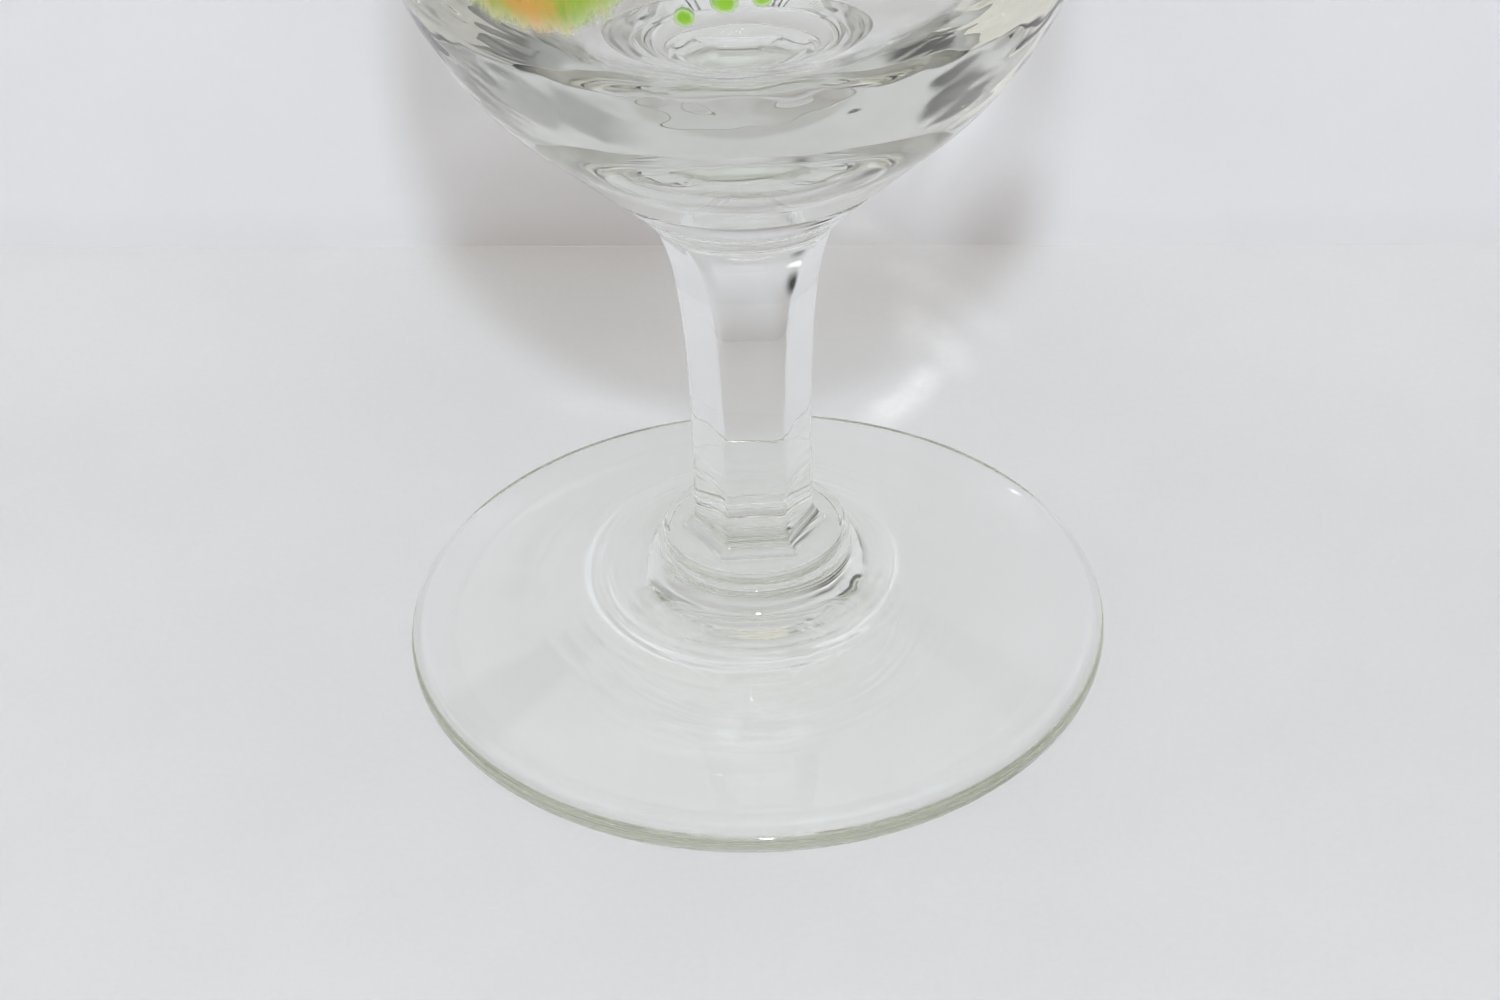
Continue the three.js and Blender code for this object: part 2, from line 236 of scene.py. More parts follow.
# The bowl's outside is an ellipse round its belly, on a cone
LIP_RADIUS = BOWL_RADIUS - LIP_INSET
LIP_CENTRE_HEIGHT = BOWL_TOP - LIP_THICKNESS / 2
UPPER_HALF_AXIS = half_axis(BOWL_RADIUS, LIP_RADIUS, LIP_CENTRE_HEIGHT - BELLY_HEIGHT)

# The bowl's waviness over the height above its base, both ends smooth: heights in millimetres and shares. The
# inside, counted in rings from the lip's inner edge down, has less of it.
BOWL_WAVE_HEIGHTS, BOWL_WAVE_SHARES = [1, 4, 14, 30, 45, 58], [0, 0.7, 1, 0.7, 0.3, 0]
BOWL_INSIDE_RINGS = 84
BOWL_INSIDE_SHARE = 0.35


def make_bowl():
    inner = BOWL_RADIUS - WALL_THICKNESS
    inner_lip = LIP_RADIUS - LIP_THICKNESS
    inner_rise = half_axis(inner, inner_lip, LIP_CENTRE_HEIGHT - BELLY_HEIGHT)
    floor_drop = BELLY_HEIGHT - BOWL_BASE - FLOOR_THICKNESS
    cone_end = tangent_angle(BOWL_RADIUS, LOWER_HALF_AXIS, BOWL_BASE_RADIUS, BOWL_BASE - BELLY_HEIGHT)
    lip_angle = math.degrees(math.acos(LIP_RADIUS / BOWL_RADIUS))
    inner_lip_angle = math.degrees(math.acos(inner_lip / inner))
    lip_half = LIP_THICKNESS / 2
    outline = np.vstack(
        [
            [[0, BOWL_BASE - FUSED_DEPTH]],
            [[BOWL_BASE_RADIUS - FUSED_INSET, BOWL_BASE - FUSED_DEPTH]],
            [[BOWL_BASE_RADIUS, BOWL_BASE]],
            ellipse(0, BELLY_HEIGHT, BOWL_RADIUS, LOWER_HALF_AXIS, cone_end, 0, 60),
            ellipse(0, BELLY_HEIGHT, BOWL_RADIUS, UPPER_HALF_AXIS, 0, lip_angle, 24)[1:],
            ellipse(LIP_RADIUS - lip_half, LIP_CENTRE_HEIGHT, lip_half, lip_half, 0, 180, 13)[1:-1],
            ellipse(0, BELLY_HEIGHT, inner, inner_rise, inner_lip_angle, 0, 24),
            ellipse(0, BELLY_HEIGHT, inner, floor_drop, 0, -89, 60)[1:],
            [[0, BOWL_BASE + FLOOR_THICKNESS]],
        ]
    )

    def relief(rings):
        """The pressed glass is wavy near its thick bottom, and smooth where it is fused to the collar and at the
        lip.
        """
        above_base = (rings[..., 2] - BOWL_BASE) / MM
        window = np.interp(above_base, BOWL_WAVE_HEIGHTS, BOWL_WAVE_SHARES)
        inside = (np.arange(len(rings)) >= len(rings) - BOWL_INSIDE_RINGS)[:, None]
        window = window * np.where(inside, BOWL_INSIDE_SHARE, 1)
        return window * waves(rings, 3.5 * MM, 11 * MM, slope=0.013, seed=3)

    return turned("glass_bowl", outline, relief, fused_bottom=True)


def make_collar():
    outline = [
        (0, COLLAR_LOW.z - FUSED_DEPTH),
        (COLLAR_BOTTOM_RADIUS - FUSED_INSET, COLLAR_LOW.z - FUSED_DEPTH),
        (COLLAR_BOTTOM_RADIUS, COLLAR_LOW.z),
        (COLLAR_TOP_RADIUS, BOWL_BASE),
        (0, BOWL_BASE),
    ]
    return turned("glass_collar", outline, fused_bottom=True, fused_top=True)


BOSS_TOP = FOOT_TOP + BOSS_HEIGHT
SHAFT_START = BOSS_TOP + FOOT_FLARE_HEIGHT
SHAFT_END = SHAFT_START + SHAFT_LENGTH
HEAD_EDGE = STEM_TOP - HEAD_EDGE_HEIGHT
HEAD_RADIUS = COLLAR_BOTTOM_RADIUS - HEAD_INSET
SHAFT_APOTHEM = SHAFT_RADIUS * math.cos(math.pi / FACETS)
FACET_HALF_WIDTH = SHAFT_RADIUS * math.sin(math.pi / FACETS)

# The distance of a face that lies so far out that it cuts nothing
NO_FACET = 1.0


def facet_distance(heights, envelope):
    """How far a pressed face lies from the axis. It curls out onto the boss, and ends in an arch near the top of
    the flare."""
    drop = np.clip(1 - (heights - BOSS_TOP) / FACET_CURL_HEIGHT, 0, 1)
    curled = SHAFT_APOTHEM + FACET_CURL_DEPTH * (1 - np.sqrt(1 - drop**2))
    arch_start = STEM_TOP - FACET_RUN_OUT - FACET_END_HEIGHT
    half_width = np.interp(heights, [SHAFT_END, arch_start], [FACET_HALF_WIDTH, FACET_TOP_WIDTH / 2])
    past = np.clip((heights - arch_start) / FACET_END_HEIGHT, 0, 1)
    kept = np.sqrt(envelope**2 - half_width**2 * (1 - past**FACET_ARCH_POWER))
    distance = np.where(heights < SHAFT_END, curled, kept)
    return np.where(heights <= BOSS_TOP, NO_FACET, distance)


def smooth_minimum(a, b):
    """The lesser of two distances, rounded where they meet."""
    overlap = np.maximum(CORNER_ROUNDING - np.abs(a - b), 0) / CORNER_ROUNDING
    return np.minimum(a, b) - overlap**2 * CORNER_ROUNDING / 4


def make_stem():
    edge_centre = BOSS_RADIUS - BOSS_EDGE_RADIUS
    edge_low, edge_high = FOOT_TOP + BOSS_EDGE_RADIUS, BOSS_TOP - BOSS_EDGE_RADIUS
    shaft_heights = np.linspace(SHAFT_START, SHAFT_END, 20)
    shaft = np.column_stack([np.full_like(shaft_heights, SHAFT_RADIUS), shaft_heights])
    head_curve = [
        (SHAFT_RADIUS, SHAFT_END),
        (SHAFT_RADIUS, SHAFT_END + HEAD_SLENDER_HEIGHT),
        (HEAD_TURN_RADIUS, SHAFT_END + HEAD_TURN_HEIGHT),
        (HEAD_RADIUS, HEAD_EDGE),
    ]
    envelope = np.vstack(
        [
            [[edge_centre - FUSED_DEPTH, FOOT_TOP - FUSED_DEPTH]],
            ellipse(edge_centre, edge_low, BOSS_EDGE_RADIUS, BOSS_EDGE_RADIUS, -90, 0, 9),
            ellipse(edge_centre, edge_high, BOSS_EDGE_RADIUS, BOSS_EDGE_RADIUS, 0, 90, 9),
            ellipse(edge_centre, SHAFT_START, edge_centre - SHAFT_RADIUS, FOOT_FLARE_HEIGHT, -90, -180, 40)[1:],
            shaft[1:],
            bezier(head_curve, 140)[1:],
            [[HEAD_RADIUS, STEM_TOP]],
        ]
    )
    segments = FACETS * STEM_SEGMENTS_PER_FACET
    facet_angle = 2 * math.pi / FACETS
    turns = np.linspace(0, 2 * math.pi, segments, endpoint=False)
    from_face = turns - facet_angle * np.round(turns / facet_angle)
    faces = facet_distance(envelope[:, 1], envelope[:, 0])[:, None] / np.cos(from_face)[None, :]
    radius = smooth_minimum(envelope[:, :1], faces)
    angles = turns - math.pi / 2 + FACET_TURN
    heights = np.repeat(envelope[:, 1:], segments, axis=1)

    def rings_at(radius):
        return np.stack([radius * np.cos(angles), radius * np.sin(angles), heights], axis=-1)

    window = np.interp(heights, [BOSS_TOP, SHAFT_START + MM, HEAD_EDGE - 4 * MM, HEAD_EDGE], [0.3, 1, 1, 0])
    window = np.where(heights < BOSS_TOP, 0, window)
    ripple = waves(rings_at(radius), 2.5 * MM, 9 * MM, slope=0.007, seed=11, flatten=2)
    radius = radius + window * ripple
    return grid_mesh("glass_stem", rings_at(radius), fused_bottom=True, fused_top=True)


# Ridges that the cooling mould leaves round the crown: distance from the axis, height, width, and unevenness in
# height round the foot. Then, how far they wander and how strongly they swell.
CHILL_RINGS = [
    (20.5 * MM, 0.015 * MM, 0.9 * MM, 0.9),
    (18.6 * MM, 0.02 * MM, 0.7 * MM, 0.8),
    (16.9 * MM, 0.03 * MM, 0.6 * MM, 0.7),
    (14.6 * MM, 0.035 * MM, 0.6 * MM, 0.3),
    (13.65 * MM, 0.03 * MM, 0.6 * MM, 0.4),
    (12.4 * MM, 0.03 * MM, 0.4 * MM, 0.8),
    (11.4 * MM, 0.025 * MM, 0.6 * MM, 0.5),
]
CHILL_WANDER, CHILL_SWELL = 0.12 * MM, 0.6

# Where the foot is wavy and where its crown is rough: distances from the axis in millimetres, each fading in and
# out again
FOOT_WAVE_REACH = [8, 9.5, 27, 29.5]
CROWN_ROUGH_REACH = [9, 10, 13, 14.5]
FADE_IN_AND_OUT = [0, 1, 1, 0]


def make_foot():
    edge = FOOT_EDGE_THICKNESS / 2
    contact_outer = FOOT_RADIUS - edge
    contact_inner = contact_outer - CONTACT_RING_WIDTH
    cone_top = FOOT_EDGE_THICKNESS + CONE_RISE
    slope = CONE_RISE / (contact_outer - CONE_START_RADIUS)
    crown_start = CONE_START_RADIUS + CROWN_REACH
    hollow_turn = HOLLOW_FLAT_SHARE * contact_inner
    hollow = bezier([(0, HOLLOW_RISE), (hollow_turn, HOLLOW_RISE), (contact_inner, 0)], 40)
    cone_radius = np.linspace(contact_outer, crown_start, 200)
    cone = np.column_stack([cone_radius, cone_top - (cone_radius - CONE_START_RADIUS) * slope])
    crown_curve = [
        (crown_start, cone_top - CROWN_REACH * slope),
        (CONE_START_RADIUS, cone_top),
        (CROWN_TURN_RADIUS, CROWN_TURN_HEIGHT),
        (BOSS_RADIUS + CROWN_LEDGE, FOOT_TOP),
    ]
    crown = bezier(crown_curve, 70)
    seat = [[BOSS_RADIUS - BOSS_EDGE_RADIUS, FOOT_TOP], [0, FOOT_TOP]]
    turn = np.radians(np.linspace(-90, 90, 41))
    power = 2 / RIM_BLUNTNESS
    rim_radius = contact_outer + edge * np.cos(turn) ** power
    rim_height = edge + edge * np.sign(np.sin(turn)) * np.abs(np.sin(turn)) ** power
    rim = np.column_stack([rim_radius, rim_height])[:-1]
    outline = np.vstack([hollow, rim, cone, crown[1:], seat])
    top_start = len(hollow) + len(rim) - 1

    def relief(rings):
        """Uneven rings, a rough crown and a slight waviness on top, none at the rim, contact ring and seat."""
        distance = np.hypot(rings[..., 0], rings[..., 1])
        round_angle = np.arctan2(rings[..., 1], rings[..., 0])
        source = np.random.default_rng(5)
        lift = np.zeros(distance.shape)
        for ring_radius, height, width, unevenness in CHILL_RINGS:
            swing = sum(
                np.sin(k * round_angle + source.random() * ANY_PHASE) / k**0.5 for k in (1, 2, 3, 5, 8, 13)
            )
            wander = CHILL_WANDER * np.sin(2 * round_angle + source.random() * ANY_PHASE)
            offset = (distance - ring_radius - wander) / (width / 2)
            lift += height * (1 + unevenness * CHILL_SWELL * swing) * bell(offset)
        is_top = (np.arange(len(rings)) >= top_start)[:, None]
        smooth = np.interp(distance / MM, FOOT_WAVE_REACH, FADE_IN_AND_OUT)
        ripple = waves(rings, 3 * MM, 12 * MM, slope=0.006, seed=8)
        on_crown = np.interp(distance / MM, CROWN_ROUGH_REACH, FADE_IN_AND_OUT)
        rough = np.where(is_top, on_crown, 0) * waves(rings, 1.6 * MM, 5 * MM, slope=0.022, seed=12)
        return smooth * (np.where(is_top, lift, 0) + ripple) + rough

    return turned("glass_foot", outline, relief, fused_top=True)


def on_bowl(from_front, height, stand_off):
    """Points on the bowl's outside, by how far round from the front, how high, and how far off it they lie."""
    angle = from_front / BOWL_RADIUS
    half_height = np.where(height < BELLY_HEIGHT, LOWER_HALF_AXIS, UPPER_HALF_AXIS)
    share = (height - BELLY_HEIGHT) / half_height
    radius = BOWL_RADIUS * np.sqrt(1 - share**2)
    outwards, upwards = radius / BOWL_RADIUS**2, share / half_height
    length = np.hypot(outwards, upwards)
    reach = radius + stand_off * outwards / length
    level = height + stand_off * upwards / length
    return np.stack([reach * np.sin(angle), -reach * np.cos(angle), level], axis=-1)


def oval(share, width):
    return TIP_WIDTH + width / 2 * np.sqrt(np.maximum(0, 4 * share * (1 - share)))


def pointed(share, width):
    return TIP_WIDTH + width / 2 * np.sin(math.pi * share)


def even(share, width):
    return np.full_like(share, width / 2)


def enamel_patch(name, half_width, offset, height, tilt, length, width, arch):
    """A thin closed patch on the bowl. Its attribute `inset` is how far, in millimetres, a point lies inside the
    patch's outline, and `run` is how far along the patch it lies, as a share of the length."""
    along = max(LEAST_ALONG, round(length / ENAMEL_STEP))
    across = max(LEAST_ACROSS, round(width / ENAMEL_STEP))
    share = ((1 - np.cos(np.linspace(0, math.pi, along + 1))) / 2)[:, None]
    lane = np.linspace(-1, 1, across + 1)[None, :]
    half = half_width(share, width)
    x = share * length + 0 * lane
    y = half * lane + arch * np.sin(math.pi * share)
    tilt = math.radians(tilt)
    from_front = offset + x * math.cos(tilt) - y * math.sin(tilt)
    heights = height + x * math.sin(tilt) + y * math.cos(tilt)
    stand_offs = (ENAMEL_CLEARANCE, ENAMEL_CLEARANCE + ENAMEL_THICKNESS)
    vertices = np.concatenate([on_bowl(from_front, heights, off).reshape(-1, 3) for off in stand_offs])

    size = (along + 1) * (across + 1)
    inside = np.arange(size).reshape(along + 1, across + 1)
    outside = inside + size
    low, high = slice(None, -1), slice(1, None)
    corners = [(low, low), (high, low), (high, high), (low, high)]
    top = np.stack([outside[corner] for corner in corners], -1).reshape(-1, 4)
    bottom = np.stack([inside[corner] for corner in reversed(corners)], -1).reshape(-1, 4)
    border = np.concatenate([inside[:, 0], inside[-1, 1:], inside[-2::-1, -1], inside[0, -2:0:-1]])
    after = np.roll(border, -1)
    wall = np.stack([border, after, after + size, border + size], -1)
    mesh = bpy.data.meshes.new(name)
    mesh.from_pydata(vertices.tolist(), [], np.concatenate([top, bottom, wall]).tolist())

    from_edge = (1 - np.hypot(2 * share - 1, 2 * y / width)) * min(length, width) / 2
    inset = from_edge if half_width is oval else half * (1 - np.abs(lane))
    for title, values in (("inset", inset / MM), ("run", share + 0 * lane)):
        values = np.tile(np.broadcast_to(values, x.shape).ravel(), 2)
        mesh.attributes.new(title, "FLOAT", "POINT").data.foreach_set("value", values)
    mesh.shade_smooth()
    return add_object(name, mesh)


# Enamel patches: outline, the start's offset round the belly and height, tilt, length, width and arch. They are
# placed as in the frame's solids: from the rim and front, from the first fruit, and from the third leaf.
FRUIT_TOP = BOWL_TOP - 9.8 * MM
FRUIT_LEFT, FRUIT_LENGTH, FRUIT_WIDTH = -29.8 * MM, 24.5 * MM, 25 * MM
FRUIT_MIDDLE, FRUIT_RIGHT = FRUIT_LEFT + FRUIT_LENGTH / 2, FRUIT_LEFT + FRUIT_LENGTH
LEAF_START, LEAF_HEIGHT = FRUIT_RIGHT + 2.8 * MM, FRUIT_TOP - 18 * MM
PATCHES = {
    "fruit_1": (oval, FRUIT_LEFT, FRUIT_TOP - FRUIT_WIDTH / 2, 0, FRUIT_LENGTH, FRUIT_WIDTH, 0),
    "fruit_2": (oval, FRUIT_LEFT - 1.4 * MM, FRUIT_TOP - 7.7 * MM, 180, 14.5 * MM, 17 * MM, 0),
    "leaf_1": (pointed, FRUIT_MIDDLE + 5.5 * MM, FRUIT_TOP + 0.4 * MM, 20, 13 * MM, 4.6 * MM, 0.5 * MM),
    "leaf_2": (pointed, FRUIT_MIDDLE - 2.6 * MM, FRUIT_TOP + 0.7 * MM, 165, 13 * MM, 4.8 * MM, -0.6 * MM),
    "leaf_3": (pointed, LEAF_START, LEAF_HEIGHT, 75, 13.5 * MM, 5.2 * MM, 0.7 * MM),
    "berry_1": (oval, LEAF_START - 2.5 * MM, LEAF_HEIGHT - 3.2 * MM, 0, 1.8 * MM, 1.8 * MM, 0),
    "berry_2": (oval, LEAF_START + 0.3 * MM, LEAF_HEIGHT - 1.9 * MM, 0, 2.3 * MM, 2 * MM, 0),
    "berry_3": (oval, LEAF_START + 3.2 * MM, LEAF_HEIGHT - 1.5 * MM, 0, 2 * MM, 1.9 * MM, 0),
    "stalk": (even, FRUIT_MIDDLE - 0.1 * MM, FRUIT_TOP + 0.8 * MM, 80, 5.2 * MM, 0.8 * MM, 0.4 * MM),
}

# Enamel colours: body, blush and deep streaks, the feather of the edge in millimetres, and the two ends of the
# blush as shares of the patch's run
ENAMEL_COLOURS = {
    "fruit": ((0.36, 0.50, 0.05), (0.72, 0.38, 0.07), (0.22, 0.40, 0.03), 1.3, 0.2, 0.85),
    "leaf": ((0.30, 0.52, 0.06), (0.50, 0.62, 0.20), (0.12, 0.30, 0.03), 0.5, 0.1, 0.7),
    "berry": ((0.25, 0.56, 0.01), (0.32, 0.62, 0.03), (0.03, 0.10, 0.02), 0.25, 0.1, 0.9),
    "stalk": ((0.03, 0.07, 0.02), (0.05, 0.10, 0.02), (0.01, 0.02, 0.01), 0.2, 0.1, 0.9),
}
ENAMEL_PALE = (0.80, 0.83, 0.66)
ENAMEL_SHADOW = (0.6, 0.6, 0.55, 1)

# How far the blush strays along the run, how strongly the deep streaks and the pale edge show, where that edge
# starts, and how ragged the enamel's outline is
BLUSH_WANDER = 0.9
DEEP_SHARE = 0.55
PALE_SHARE, PALE_START = 0.55, 0.6
EDGE_RAGGEDNESS = 2.6

# The glass's tint over a length of 1 / density in metres, greener in the foot
FOOT_TINT = (0.7, 0.73, 0.6)
BOWL_TINT = (0.755, 0.765, 0.715)
TINT_DENSITY = 19


def node_material(name):
    """A new node material with an empty tree and its output node."""
    material = bpy.data.materials.new(name)
    material.use_nodes = True
    tree = material.node_tree
    tree.nodes.clear()
    return material, tree, tree.nodes.new("ShaderNodeOutputMaterial")


def attribute(tree, name):
    """The values of a named attribute of the mesh."""
    node = tree.nodes.new("ShaderNodeAttribute")
    node.attribute_name = name
    return node.outputs["Fac"]


def object_place(tree):
    return tree.nodes.new("ShaderNodeTexCoord").outputs["Object"]


def separate(tree, vector):
    """A vector's three parts, by the names X, Y and Z."""
    split = tree.nodes.new("ShaderNodeSeparateXYZ")
    tree.links.new(vector, split.inputs["Vector"])
    return split.outputs


def link_math(tree, operation, first, second, clamp=False):
    """The output of a maths node fed by two sockets or numbers."""
    node = tree.nodes.new("ShaderNodeMath")
    node.operation = operation
    node.use_clamp = clamp
    for socket, value in zip(node.inputs, (first, second)):
        if isinstance(value, (int, float)):
            socket.default_value = value
        else:
            tree.links.new(value, socket)
    return node.outputs["Value"]


def times(tree, first, second):
    return link_math(tree, "MULTIPLY", first, second)


def set_inputs(node, values):
    """Set a node's inputs by their names."""
    for title, value in values.items():
        node.inputs[title].default_value = value


def smooth_step(tree, value, low, high, result_low=0.0, result_high=1.0):
    """A smooth change from one number to another as `value` runs from `low` to `high`."""
    node = tree.nodes.new("ShaderNodeMapRange")
    node.interpolation_type = "SMOOTHSTEP"
    set_inputs(node, {"From Min": low, "From Max": high, "To Min": result_low, "To Max": result_high})
    tree.links.new(value, node.inputs["Value"])
    return node.outputs["Result"]


def noise(tree, place, scale, detail=3.0, roughness=0.55, stretch=(1, 1, 1)):
    """Noise between 0 and 1 over a place in metres, `scale` in features per millimetre."""
    mapping = tree.nodes.new("ShaderNodeMapping")
    mapping.inputs["Scale"].default_value = stretch
    tree.links.new(place, mapping.inputs["Vector"])
    texture = tree.nodes.new("ShaderNodeTexNoise")
    set_inputs(texture, {"Scale": scale / MM, "Detail": detail, "Roughness": roughness})
    tree.links.new(mapping.outputs["Vector"], texture.inputs["Vector"])
    return texture.outputs["Fac"]


def blend(tree, share, first, second):
    """A mix of two colours, each a socket or a plain (r, g, b)."""
    node = tree.nodes.new("ShaderNodeMix")
    node.data_type = "RGBA"
    # The node has sockets of the same names for other data types, so its colour sockets go by number
    tree.links.new(share, node.inputs[0])
    for socket, value in ((node.inputs[6], first), (node.inputs[7], second)):
        if isinstance(value, tuple):
            socket.default_value = (*value, 1)
        else:
            tree.links.new(value, socket)
    return node.outputs[2]


def mix_shaders(tree, share, first, second):
    """One shader where `share` is 0 and another where it is 1."""
    mix = tree.nodes.new("ShaderNodeMixShader")
    for socket, value in zip(mix.inputs, (share, first, second)):
        tree.links.new(value, socket)
    return mix.outputs["Shader"]


def make_glass_material(name, tint_colour):
    """Clear glass. It stops bending light where it is fused to the next piece. Light on its way to a matt surface
    passes straight through, and keeps the share that the attribute `passing` gives at each point."""
    material, tree, output = node_material(name)
    glass = tree.nodes.new("ShaderNodeBsdfPrincipled")
    set_inputs(glass, {"Base Color": WHITE, "Roughness": 0.0, "IOR": GLASS_BEND, "Transmission Weight": 1.0})
    clear = tree.nodes.new("ShaderNodeBsdfTransparent")
    tree.links.new(attribute(tree, "passing"), clear.inputs["Color"])
    fused = attribute(tree, "fused")
    bending = tree.nodes.new("ShaderNodeMapRange")
    set_inputs(bending, {"To Min": GLASS_BEND, "To Max": AIR_BEND})
    tree.links.new(fused, bending.inputs["Value"])
    tree.links.new(bending.outputs["Result"], glass.inputs["IOR"])
    path = tree.nodes.new("ShaderNodeLightPath")
    surface = glass.outputs["BSDF"]
    for rays in ("Is Diffuse Ray", "Is Shadow Ray"):
        surface = mix_shaders(tree, path.outputs[rays], surface, clear.outputs["BSDF"])
    tree.links.new(surface, output.inputs["Surface"])
    tint = tree.nodes.new("ShaderNodeVolumeAbsorption")
    set_inputs(tint, {"Color": (*tint_colour, 1), "Density": TINT_DENSITY})
    tree.links.new(tint.outputs["Volume"], output.inputs["Volume"])
    return material


def make_enamel_material(name, body, blush, deep, feather, blush_from, blush_to):
    """Brushed enamel. It thins out over `feather` millimetres, and the blush lies between two shares of its
    run."""
    material, tree, output = node_material(name)
    place = object_place(tree)
    streaks = noise(tree, place, 1.1, detail=4, roughness=0.6, stretch=(1, 1, 0.3))
    clouds = noise(tree, place, 0.16, roughness=0.6)
    inset, run = attribute(tree, "inset"), attribute(tree, "run")
    run = link_math(tree, "ADD", run, times(tree, link_math(tree, "SUBTRACT", clouds, 0.5), BLUSH_WANDER))
    blush_middle = (blush_from + blush_to) / 2
    rising = smooth_step(tree, run, blush_from, blush_middle)
    falling = smooth_step(tree, run, blush_middle, blush_to, 1, 0)
    colour = blend(tree, times(tree, rising, falling), body, blush)
    dark = smooth_step(tree, streaks, 0.52, 0.75, 0, DEEP_SHARE)
    colour = blend(tree, dark, colour, deep)
    uneven = link_math(tree, "ADD", inset, streaks)
    pale = smooth_step(tree, uneven, PALE_START, 2.0 * feather + PALE_START, PALE_SHARE, 0)
    colour = blend(tree, pale, colour, ENAMEL_PALE)
    ragged = times(tree, link_math(tree, "SUBTRACT", streaks, 0.5), EDGE_RAGGEDNESS * feather)
    cover = smooth_step(tree, link_math(tree, "ADD", inset, ragged), 0.02, feather)
    shader = tree.nodes.new("ShaderNodeBsdfPrincipled")
    tree.links.new(colour, shader.inputs["Base Color"])
    tree.links.new(cover, shader.inputs["Alpha"])
    roughness = smooth_step(tree, streaks, 0.3, 0.7, 0.34, 0.5)
    tree.links.new(roughness, shader.inputs["Roughness"])
    bump = tree.nodes.new("ShaderNodeBump")
    set_inputs(bump, {"Strength": 0.35, "Distance": 0.06 * MM})
    tree.links.new(streaks, bump.inputs["Height"])
    tree.links.new(bump.outputs["Normal"], shader.inputs["Normal"])
    path = tree.nodes.new("ShaderNodeLightPath")
    clear = tree.nodes.new("ShaderNodeBsdfTransparent")
    clear.inputs["Color"].default_value = ENAMEL_SHADOW
    surface = mix_shaders(tree, path.outputs["Is Shadow Ray"], shader.outputs["BSDF"], clear.outputs["BSDF"])
    tree.links.new(surface, output.inputs["Surface"])
    return material


# The table and the wall behind it, which turns a little away
STAGE_HALF = 1.5
WALL_HEIGHT = 1.5
WALL_DISTANCE = 66 * MM
WALL_TURN = -0.054
TABLE_COLOUR = (0.75, 0.745, 0.74)
WALL_COLOUR = (0.92, 0.905, 0.915)

# Smooth changes over the stage, here and below: from where to where, and the values at both ends. The table has
# painted light, lighter towards the front, and the wall has painted shade, darker in a thin line along the table
# where the two meet.
TABLE_FRONT_LIGHT = (-0.1, -0.02, 1.05, 1)
WALL_JUNCTION_SHADE = (0.001, 0.006, 0.965, 1)

# Soft spots and streaks on the stage all have their middle (sideways, and back along the table or up the wall),
# half length, half width and tilt, in millimetres and degrees, and then a strength.

# The share of light that passes through the bowl to the table and, counted on from there, up the wall
SHADE_SPOTS = [
    (-24, 54, 18, 18, 0, 0.2),
    (-27, 84, 14, 12, 0, 0.5),
    (2, 40, 12, 8, 0, 0.2),
    (15, 47, 9, 8, 0, 0.42),
    (20, 72, 11, 13, 0, 0.92),
    (0, 92, 13, 13, 0, 1.0),
    (28.9, 67, 4, 3.5, 30, 0.0),
    (24.5, 57, 4.5, 2.6, -50, 0.12),
    (16, 59, 5, 2.6, 0, 0.3),
    (25, 86, 9, 2, 70, 1.0),
]
SHADE_BACKGROUND = 0.42
SHADE_BACKGROUND_WEIGHT = 0.1
SMALL_SPOT_WIDTH = 5
SMALL_SPOT_WEIGHT = 30

# Bright streaks that the bowl's thick glass throws, painted as light that the table and wall give off
TABLE_STREAKS = [
    (19, 58, 9, 3.6, -42, 0.05),
    (24, 50.5, 8, 3.0, -55, 0.04),
    (17, 49.5, 9, 3.0, 88, 0.06),
    (20.4, 45.5, 8, 3.2, -78, 0.08),
    (14.4, 35.0, 7.5, 3.6, 50, 0.16),
    (17.5, 39.5, 5, 3.0, 60, 0.12),
    (-14, 36, 12, 3.5, -20, 0.035),
]
WALL_STREAKS = [
    (12, 2.5, 9, 2.8, -28, 0.05),
    (24, 15, 13, 2.6, 62, 0.05),
    (17, 12, 9, 2.0, 80, 0.04),
    (-28, 14, 10, 5, 20, 0.03),
]

# A painted bright glint and two patches of painted shade on the wall that only the glass shows
WALL_GLINTS = [(-28, 31.5, 20, 4.5, 0, 0.9)]
WALL_SHADE_PATCHES = [(-30, 18.5, 24, 9, 0, 1.2), (-23, 48, 8, 12, 0, 0.7)]

# The band of painted shade on the wall that only the glass shows: how far out it starts to rise, how high it is,
# how steeply it rises to the left and right, and how far its core and its faded edge lie from its middle
BAND_START = 0.046
BAND_HEIGHT = 0.084
BAND_SLOPES = (0.64, 0.58)
BAND_CORE, BAND_EDGE = 0.0075, 0.0175

# Smooth changes over the wall: how the band widens away from the middle, how deep it is on the left and on the
# right, the painted shade on the upper right of the wall, and how the wall is painted darker higher up
BAND_SPREAD = (0.05, 0.1, 1, 1.7)
BAND_LEFT_DEPTH, BAND_LEFT_END = (-0.074, -0.06, 0.92, 0), (-0.24, -0.15, 0.3, 1)
BAND_RIGHT_DEPTH, BAND_RIGHT_START = (0.1, 0.15, 0.42, 0.85), (0.02, 0.04, 0, 1)
CORNER_ACROSS, CORNER_DEPTH = (0.11, 0.17, 0, 1), (0.06, 0.1, 0, 0.6)
WALL_HIGH = (0.1, 0.2, 1, 0.88)


